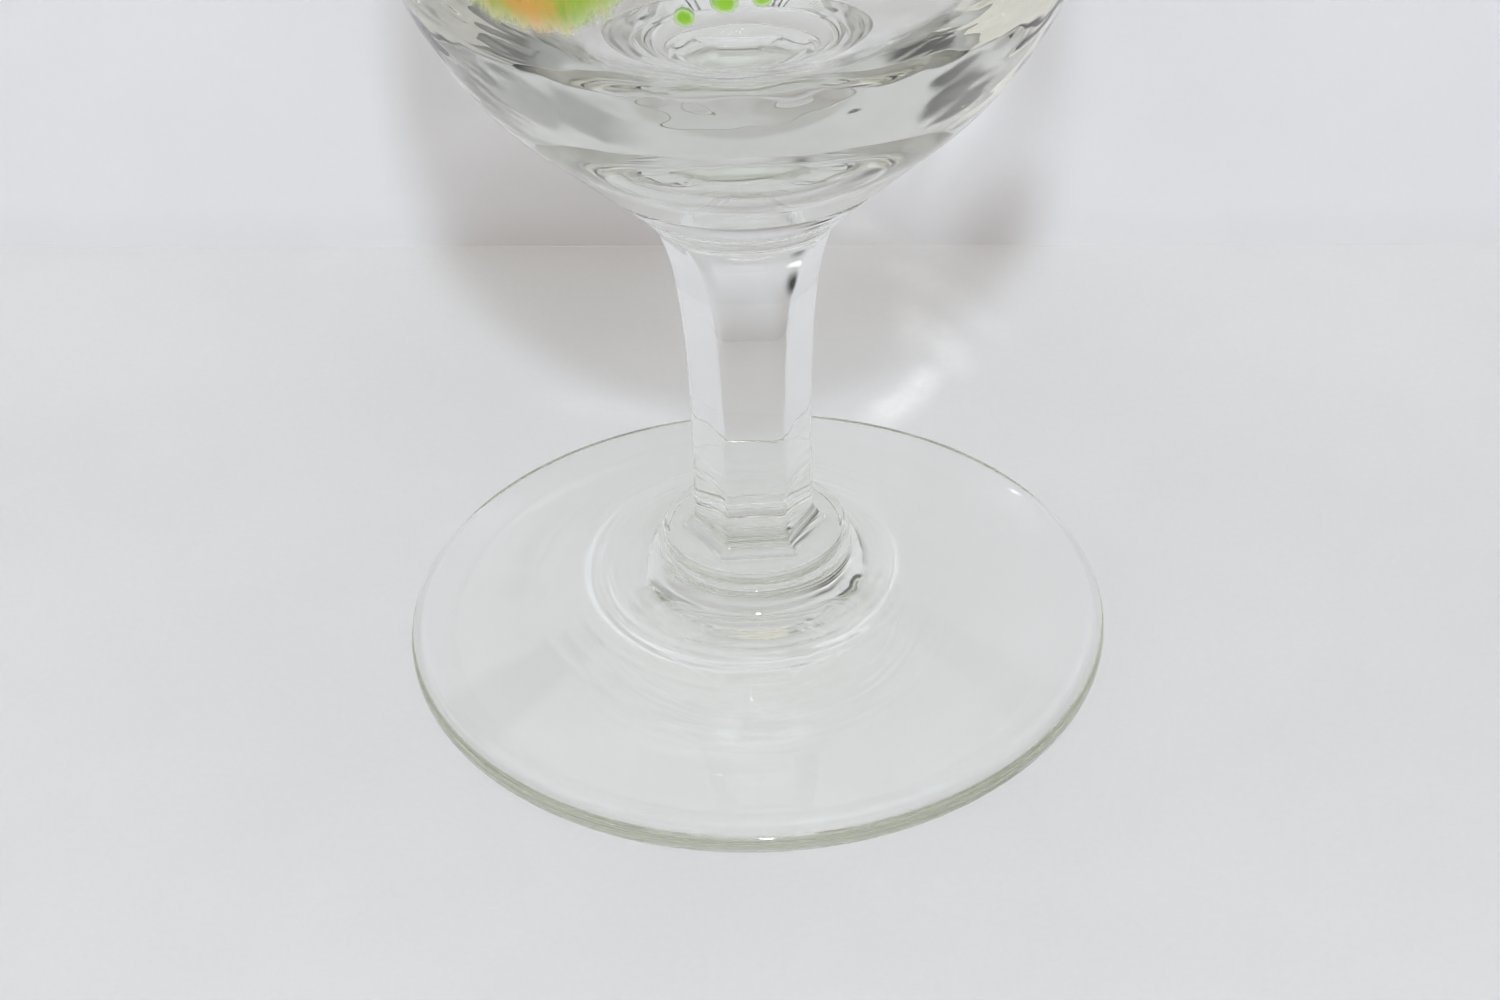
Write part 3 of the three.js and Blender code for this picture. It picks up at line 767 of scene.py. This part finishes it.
def stage_material(name, colour, grain, roughness):
    """Matt paint or paper with faint clouds and grain. Besides the material, this gives its tree, shader and
    output, the socket that scales its colour, and the place on the object by the names X, Y and Z."""
    material, tree, output = node_material(name)
    place = object_place(tree)
    clouds = smooth_step(tree, noise(tree, place, 0.035), 0.3, 0.7, 0.985, 1.012)
    fine = noise(tree, place, 1.4, detail=4, roughness=0.7)
    fine = smooth_step(tree, fine, 0.25, 0.75, 1 - grain, 1 + grain)
    shade = tree.nodes.new("ShaderNodeVectorMath")
    shade.operation = "SCALE"
    shade.inputs[0].default_value = colour
    tree.links.new(times(tree, clouds, fine), shade.inputs["Scale"])
    shader = tree.nodes.new("ShaderNodeBsdfPrincipled")
    tree.links.new(shade.outputs["Vector"], shader.inputs["Base Color"])
    shader.inputs["Roughness"].default_value = roughness
    tree.links.new(shader.outputs["BSDF"], output.inputs["Surface"])
    return material, tree, shader, output, shade.inputs["Scale"], separate(tree, place)


def scale_further(tree, socket, share):
    """Multiply what feeds a socket by one more share."""
    tree.links.new(times(tree, socket.links[0].from_socket, share), socket)


def soft_spots(tree, across, up, spots):
    """The sum of soft oval spots on a plane: middle across and up, half length, half width, tilt and strength."""
    flat = tree.nodes.new("ShaderNodeCombineXYZ")
    tree.links.new(across, flat.inputs["X"])
    tree.links.new(up, flat.inputs["Y"])
    total = None
    for middle, far, half_length, half_width, tilt, strength in spots:
        mapping = tree.nodes.new("ShaderNodeMapping")
        mapping.vector_type = "TEXTURE"
        mapping.inputs["Location"].default_value = (middle * MM, far * MM, 0)
        mapping.inputs["Rotation"].default_value = (0, 0, math.radians(tilt))
        mapping.inputs["Scale"].default_value = (half_length * MM, half_width * MM, 1)
        tree.links.new(flat.outputs["Vector"], mapping.inputs["Vector"])
        spot = tree.nodes.new("ShaderNodeTexGradient")
        spot.gradient_type = "SPHERICAL"
        tree.links.new(mapping.outputs["Vector"], spot.inputs["Vector"])
        share = times(tree, smooth_step(tree, spot.outputs["Fac"], 0, 1), strength)
        total = share if total is None else link_math(tree, "ADD", total, share)
    return total


def seen_directly(tree):
    """1 where the camera sees the surface itself, 0 where it sees it through the glass."""
    return tree.nodes.new("ShaderNodeLightPath").outputs["Is Camera Ray"]


def seen_through(tree):
    """1 where a ray comes straight out of the glass, 0 where it comes from anywhere else."""
    return tree.nodes.new("ShaderNodeLightPath").outputs["Is Transmission Ray"]


def add_streaks(tree, shader, across, up, streaks, through_glass=()):
    """Soft streaks of light on a stage surface, as light that the shader gives off."""
    grain = noise(tree, object_place(tree), 0.3, roughness=0.6)
    total = soft_spots(tree, across, up, streaks)
    if through_glass:
        share = times(tree, seen_through(tree), soft_spots(tree, across, up, through_glass))
        total = link_math(tree, "ADD", total, share)
    strength = times(tree, total, smooth_step(tree, grain, 0.3, 0.7, 0.7, 1.25))
    set_inputs(shader, {"Emission Color": WHITE})
    tree.links.new(strength, shader.inputs["Emission Strength"])


def wall_shade(tree, across, up):
    """The share of its colour that the wall keeps, as painted shade: less in soft dark bands that slant up it to
    both sides, and in dark patches. Only the glass shows them. The wall is pale where the camera sees it, but the
    glass there shows a darker room above it."""
    aside = link_math(tree, "ABSOLUTE", across, 0)
    slope = smooth_step(tree, across, -0.01, 0.01, *BAND_SLOPES)
    rise = times(tree, link_math(tree, "MAXIMUM", link_math(tree, "SUBTRACT", aside, BAND_START), 0), slope)
    above_middle = link_math(tree, "SUBTRACT", link_math(tree, "SUBTRACT", up, BAND_HEIGHT), rise)
    off_band = link_math(tree, "ABSOLUTE", above_middle, 0)
    spread = smooth_step(tree, aside, *BAND_SPREAD)
    band = smooth_step(tree, link_math(tree, "DIVIDE", off_band, spread), BAND_CORE, BAND_EDGE, 1, 0)
    left = times(tree, smooth_step(tree, across, *BAND_LEFT_DEPTH), smooth_step(tree, across, *BAND_LEFT_END))
    right = smooth_step(tree, across, *BAND_RIGHT_DEPTH)
    right = times(tree, right, smooth_step(tree, across, *BAND_RIGHT_START))
    depth = times(tree, band, link_math(tree, "ADD", left, right))
    corner = times(tree, smooth_step(tree, across, *CORNER_ACROSS), smooth_step(tree, up, *CORNER_DEPTH))
    depth = link_math(tree, "MAXIMUM", depth, corner)
    # Painted shade: dark patches on the wall that only the glass shows
    shade_patches = times(tree, seen_through(tree), soft_spots(tree, across, up, WALL_SHADE_PATCHES))
    depth = link_math(tree, "ADD", depth, shade_patches, clamp=True)
    high = smooth_step(tree, up, *WALL_HIGH)
    return times(tree, high, link_math(tree, "SUBTRACT", 1.0, depth))


def make_plane(name, corners):
    mesh = bpy.data.meshes.new(name)
    mesh.from_pydata(corners, [], [(0, 1, 2, 3)])
    return add_object(name, mesh)


def make_table():
    half, low = STAGE_HALF, -TABLE_GAP
    table = make_plane("table", [(-half, -half, low), (half, -half, low), (half, half, low), (-half, half, low)])
    material, tree, shader, _, scale, place = stage_material(
        "table_white", TABLE_COLOUR, grain=0.012, roughness=0.5
    )
    add_streaks(tree, shader, place["X"], place["Y"], TABLE_STREAKS)
    # Painted light: the table is lighter towards the front
    scale_further(tree, scale, smooth_step(tree, place["Y"], *TABLE_FRONT_LIGHT))
    table.data.materials.append(material)


def make_wall():
    """A pale wall that shows from its front only."""
    (x1, y1), (x2, y2) = [(x, WALL_DISTANCE + WALL_TURN * x) for x in (-STAGE_HALF, STAGE_HALF)]
    wall = make_plane("wall", [(x1, y1, 0), (x2, y2, 0), (x2, y2, WALL_HEIGHT), (x1, y1, WALL_HEIGHT)])
    material, tree, shader, output, scale, place = stage_material(
        "wall_white", WALL_COLOUR, grain=0.006, roughness=0.8
    )
    # Painted shade: the wall is darker in a thin line where it meets the table
    junction_shade = smooth_step(tree, place["Z"], *WALL_JUNCTION_SHADE)
    add_streaks(tree, shader, place["X"], place["Z"], WALL_STREAKS, WALL_GLINTS)
    shade = link_math(tree, "MAXIMUM", wall_shade(tree, place["X"], place["Z"]), seen_directly(tree))
    scale_further(tree, scale, times(tree, junction_shade, shade))
    geometry = tree.nodes.new("ShaderNodeNewGeometry")
    clear = tree.nodes.new("ShaderNodeBsdfTransparent")
    surface = mix_shaders(tree, geometry.outputs["Backfacing"], shader.outputs["BSDF"], clear.outputs["BSDF"])
    tree.links.new(surface, output.inputs["Surface"])
    wall.data.materials.append(material)


# The photograph's camera, a 3700 pixel focal length on a 1500 pixel wide frame, fitted to the foot
CAMERA_PLACE = Vector((-0.35 * MM, -270.2 * MM, 212.7 * MM))
CAMERA_PITCH, CAMERA_ROLL = math.radians(36.25), math.radians(-1.79)
CAMERA_SENSOR, CAMERA_LENS = 36, 88.8

# The flash, which points at the glass's axis
FLASH_PLACE = Vector((0.007, -0.52, 0.58))
FLASH_AIM_HEIGHT = 0.04
FLASH_SIZE = 0.04
FLASH_ENERGY = 2.1
FLASH_COLOUR = (0.88, 1, 1.12)

# Small bright lamps that only show as glints in the glass: place, energy and colour
SPARKS = [
    ((0.05, -0.52, 0.56), 0.02, (1, 1, 1)),
    ((0.48, -0.18, 0.27), 0.004, (1, 1, 1)),
    ((0.42, -0.36, 0.36), 0.004, (0.75, 0.85, 1)),
    ((0.5, 0.02, 0.42), 0.004, (1, 0.85, 0.6)),
    ((-0.5, -0.08, 0.3), 0.004, (1, 1, 1)),
    ((-0.44, -0.28, 0.34), 0.004, (0.8, 0.9, 1)),
    ((-0.3, -0.2, 0.5), 0.004, (1, 0.9, 0.75)),
]
SPARK_AIM_HEIGHT = 0.02
SPARK_SIZE = 0.003

# The room round the glass by direction. It turns from dark to pale as the direction's upward part goes from one
# position to the other. It is paler still on the left and dimmer on the right, each from one sideways part on to
# another.
ROOM_RAMP = [(0.25, (0.04, 0.04, 0.04)), (0.6, (0.96, 0.92, 0.88))]
ROOM_SIDES = [(-0.45, -0.75, (1, 0.97, 0.94)), (0.45, 0.75, (0.6, 0.59, 0.58))]
ROOM_SIDES_RISE = (0.1, 0.36)
ROOM_STRENGTH = 1.01

# Rings of light under the foot: radius, half width, strength, evenness round the foot and reach to both sides of
# the front, in millimetres and degrees. They lie a little off the ridges themselves, as the lamp throws them back
# and the sloping glass shows them nearer.
RING_LIGHT_MIDDLE = (-1.35, 0)
RING_LIGHTS = [
    (12.9, 0.34, 1.4, 0.9, 140),
    (11.7, 0.3, 0.9, 0.8, 180),
    (10.9, 0.24, 0.4, 0.3, 180),
    (13.9, 0.22, 0.35, 0.3, 40),
    (15.0, 0.22, 0.35, 0.4, 38),
    (16.0, 0.2, 0.3, 0.3, 35),
]
ALL_ROUND = 180

# How far a ring of light wanders in millimetres, how strongly it swells round the foot and at most, and the share
# of the shade inside it, which lies this many half widths in
RING_WANDER = 0.1
RING_SWELL, RING_MOST = 2.5, 1.3
RING_SHADE, RING_SHADE_PLACE = 0.45, 1.8

# Small bright glints that the foot throws on the table: place, size and strength
FOOT_SPARKS = [
    (-25.9, 16.6, 0.4, 4),
    (24.7, 15.6, 0.35, 4),
    (-2.7, -20.7, 0.9, 0.5),
    (3.3, -20.5, 0.8, 0.45),
    (-2.4, -19.2, 0.6, 0.4),
]

# Fine streaks of painted light and shade that the foot lets through in front of the stem, in millimetres: how
# many, their spread sideways, and their ranges of place, length and width. They bend like circles of this
# diameter, and are dark or bright by these shares.
STREAK_COUNT = 90
STREAK_SPREAD = 5.5
STREAK_PLACES, STREAK_LENGTHS, STREAK_WIDTHS = (-25.5, -15.5), (1, 4), (0.12, 0.2)
STREAK_BEND = 60
STREAK_SHARES = [-0.14, 0.2]

# The share of the lamp's light that foot and stem let through where nothing gathers it
FOOT_SHARE = 1.07
STEM_SHARE = 0.97

# The share of lamp light that the rim of the foot lets through, in millimetres from the axis: a bright ring, a
# dark one that fades in between two angles from the front, and a dim edge, which paint light and shade on the
# table below
RIM_BRIGHT, RIM_BRIGHT_WIDTH, RIM_BRIGHT_SHARE = 30.5, 0.2, 0.4
RIM_DARK, RIM_DARK_WIDTH, RIM_DARK_SHARE = 31.4, 0.25, 0.6
RIM_DARK_FROM, RIM_DARK_TO = 15, 35
RIM_EDGE, RIM_EDGE_SHARE = 31.65, 0.85


def bowl_passing(points, outward):
    """The share of the lamp's light that leaves the bowl towards the stage at each point."""
    ray = points - np.array(FLASH_PLACE)
    to_table = points[:, 2] / -ray[:, 2]
    slope = ray[:, 1] - WALL_TURN * ray[:, 0]
    to_wall = (WALL_DISTANCE - points[:, 1] + WALL_TURN * points[:, 0]) / slope
    reach = np.minimum(to_table, to_wall)
    landing = (points + ray * reach[:, None]) / MM
    back = landing[:, 1] + np.maximum(landing[:, 2], 0)
    weight = np.full(len(points), SHADE_BACKGROUND_WEIGHT)
    total = weight * SHADE_BACKGROUND
    for middle, far, half_length, half_width, tilt, share in SHADE_SPOTS:
        turn = math.radians(tilt)
        x, y = landing[:, 0] - middle, back - far
        along = (x * math.cos(turn) + y * math.sin(turn)) / half_length
        aside = (y * math.cos(turn) - x * math.sin(turn)) / half_width
        fade = np.exp(-((along**2 + aside**2) ** 1.5))
        fade *= SMALL_SPOT_WEIGHT if half_width < SMALL_SPOT_WIDTH else 1
        weight += fade
        total += fade * share
    off_axis = np.hypot(points[:, 0], points[:, 1]) > 1 * MM
    leaves = (np.einsum("ij,ij->i", outward, ray) > 0) & off_axis
    return np.where(leaves, total / weight, 1.0)


def ring_lights(angle, distance, source):
    """What the rings of light add at each point round the front and away from their middle."""
    total = np.zeros(len(distance))
    for radius, width, strength, evenness, reach in RING_LIGHTS:
        phases = source.random(5) * ANY_PHASE
        swing = sum(np.sin(k * angle + phase) for k, phase in zip((1, 2, 5, 9, 16), phases)) / 5
        wander = RING_WANDER * np.sin(3 * angle + phases[0])
        off = (distance - radius - wander) / width
        share = np.clip(evenness + (1 - evenness) * RING_SWELL * swing, 0, RING_MOST)
        if reach < ALL_ROUND:
            share = share * bell(angle / np.radians(reach))
        total += strength * share * (bell(off) - RING_SHADE * bell(off + RING_SHADE_PLACE))
    return total


def foot_streaks(x, y, source):
    """What the fine streaks in front of the stem add at each point."""
    total = np.zeros(len(x))
    for _ in range(STREAK_COUNT):
        middle_x, middle_y = source.normal(0, STREAK_SPREAD), source.uniform(*STREAK_PLACES)
        length, width = source.uniform(*STREAK_LENGTHS), source.uniform(*STREAK_WIDTHS)
        bent = y - middle_y - (x**2 - middle_x**2) / STREAK_BEND
        streak = np.exp(-(((x - middle_x) / length) ** 2) - (bent / width) ** 2)
        total += source.choice(STREAK_SHARES) * streak
    return total


def foot_passing(points, outward):
    """The share of light that each point of the foot lets through: a little more in fine rings and short streaks
    in front of the stem, as the uneven pressed surface gathers it, and less at the rim. The underside takes no
    part in it."""
    place_x, place_y = points[:, 0] / MM, points[:, 1] / MM
    x, y = place_x - RING_LIGHT_MIDDLE[0], place_y - RING_LIGHT_MIDDLE[1]
    source = np.random.default_rng(21)
    total = FOOT_SHARE + ring_lights(np.arctan2(x, -y), np.hypot(x, y), source) + foot_streaks(x, y, source)
    from_axis = np.hypot(place_x, place_y)
    round_angle = np.arctan2(place_x, -place_y)
    from_front = np.abs(np.degrees(round_angle))
    aside = np.clip((from_front - RIM_DARK_FROM) / (RIM_DARK_TO - RIM_DARK_FROM), 0, 1)
    swing = 0.6 + 0.2 * np.sin(3 * round_angle + 1) + 0.2 * np.sin(7 * round_angle)
    total -= RIM_DARK_SHARE * aside * swing * bell((from_axis - RIM_DARK) / RIM_DARK_WIDTH)
    total += RIM_BRIGHT_SHARE * swing * bell((from_axis - RIM_BRIGHT) / RIM_BRIGHT_WIDTH)
    total = np.where(from_axis > RIM_EDGE, RIM_EDGE_SHARE, total)
    for spot_x, spot_y, size, strength in FOOT_SPARKS:
        total += strength * np.exp(-((place_x - spot_x) ** 2 + (place_y - spot_y) ** 2) / size**2)
    return np.where(outward[:, 2] > 0, total, 1)


def stem_passing(points, outward):
    return np.full(len(points), STEM_SHARE)


def set_passing(piece, share_at):
    """Give a piece the attribute `passing`, which `share_at` works out from its vertices' places and normals."""
    count = len(piece.data.vertices)
    places, normals = np.empty(3 * count), np.empty(3 * count)
    piece.data.vertices.foreach_get("co", places)
    piece.data.vertices.foreach_get("normal", normals)
    values = share_at(places.reshape(-1, 3), normals.reshape(-1, 3))
    piece.data.attributes.new("passing", "FLOAT", "POINT").data.foreach_set("value", values)


def make_camera():
    camera_data = bpy.data.cameras.new("camera")
    camera_data.sensor_width = CAMERA_SENSOR
    camera_data.lens = CAMERA_LENS
    camera_data.clip_start = 0.01
    camera = add_object("camera", camera_data)
    aim = Matrix.Rotation(math.pi / 2 - CAMERA_PITCH, 4, "X") @ Matrix.Rotation(CAMERA_ROLL, 4, "Z")
    camera.matrix_world = Matrix.Translation(CAMERA_PLACE) @ aim
    bpy.context.scene.camera = camera


def add_lamp(name, place, aim_height, size, energy, colour):
    """A square lamp that points at a height on the glass's axis."""
    lamp_data = bpy.data.lights.new(name, "AREA")
    lamp_data.shape = "SQUARE"
    lamp_data.size = size
    lamp_data.energy = energy
    lamp_data.color = colour
    lamp = add_object(name, lamp_data)
    lamp.location = place
    lamp.rotation_mode = "QUATERNION"
    lamp.rotation_quaternion = (Vector((0, 0, aim_height)) - lamp.location).to_track_quat("-Z", "Y")


def make_room():
    """The world, which stands for the pale room round the glass."""
    world = bpy.data.worlds.new("room")
    bpy.context.scene.world = world
    world.use_nodes = True
    tree = world.node_tree
    background = next(node for node in tree.nodes if node.type == "BACKGROUND")
    place = tree.nodes.new("ShaderNodeTexCoord")
    direction = separate(tree, place.outputs["Generated"])
    ramp = tree.nodes.new("ShaderNodeValToRGB")
    for element, (position, colour) in zip(ramp.color_ramp.elements, ROOM_RAMP):
        element.position = position
        element.color = (*colour, 1)
    tree.links.new(direction["Z"], ramp.inputs["Fac"])
    colour = ramp.outputs["Color"]
    for side_from, side_to, side_colour in ROOM_SIDES:
        sideways = smooth_step(tree, direction["X"], side_from, side_to)
        upwards = smooth_step(tree, direction["Z"], *ROOM_SIDES_RISE)
        colour = blend(tree, times(tree, sideways, upwards), colour, side_colour)
    tree.links.new(colour, background.inputs["Color"])
    background.inputs["Strength"].default_value = ROOM_STRENGTH


scene = bpy.context.scene
scene.view_settings.view_transform = "Standard"
scene.cycles.max_bounces = LIGHT_BOUNCES
scene.cycles.transmission_bounces = LIGHT_BOUNCES
scene.cycles.glossy_bounces = LIGHT_BOUNCES
scene.cycles.transparent_max_bounces = LIGHT_BOUNCES
scene.cycles.sample_clamp_indirect = 12

foot_glass = make_glass_material("foot_glass", FOOT_TINT)
bowl_glass = make_glass_material("bowl_glass", BOWL_TINT)
for piece, node, glass, share_at in (
    (make_foot(), "foot", foot_glass, foot_passing),
    (make_stem(), "stem", bowl_glass, stem_passing),
    (make_collar(), "collar", bowl_glass, stem_passing),
    (make_bowl(), "bowl", bowl_glass, bowl_passing),
):
    piece.data.materials.append(glass)
    set_passing(piece, share_at)
    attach(piece, "root")
    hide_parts(node)

enamels = {kind: make_enamel_material(kind, *colours) for kind, colours in ENAMEL_COLOURS.items()}
for patch_name, shape in PATCHES.items():
    kind = patch_name.split("_")[0]
    piece = enamel_patch("paint_" + patch_name, *shape)
    piece.data.materials.append(enamels[kind])
    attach(piece, "root")
    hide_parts("enamel_" + patch_name)

make_table()
make_wall()
make_camera()
add_lamp("flash", FLASH_PLACE, FLASH_AIM_HEIGHT, FLASH_SIZE, FLASH_ENERGY, FLASH_COLOUR)
for index, (place, energy, colour) in enumerate(SPARKS):
    add_lamp(f"spark_{index}", place, SPARK_AIM_HEIGHT, SPARK_SIZE, energy, colour)
make_room()
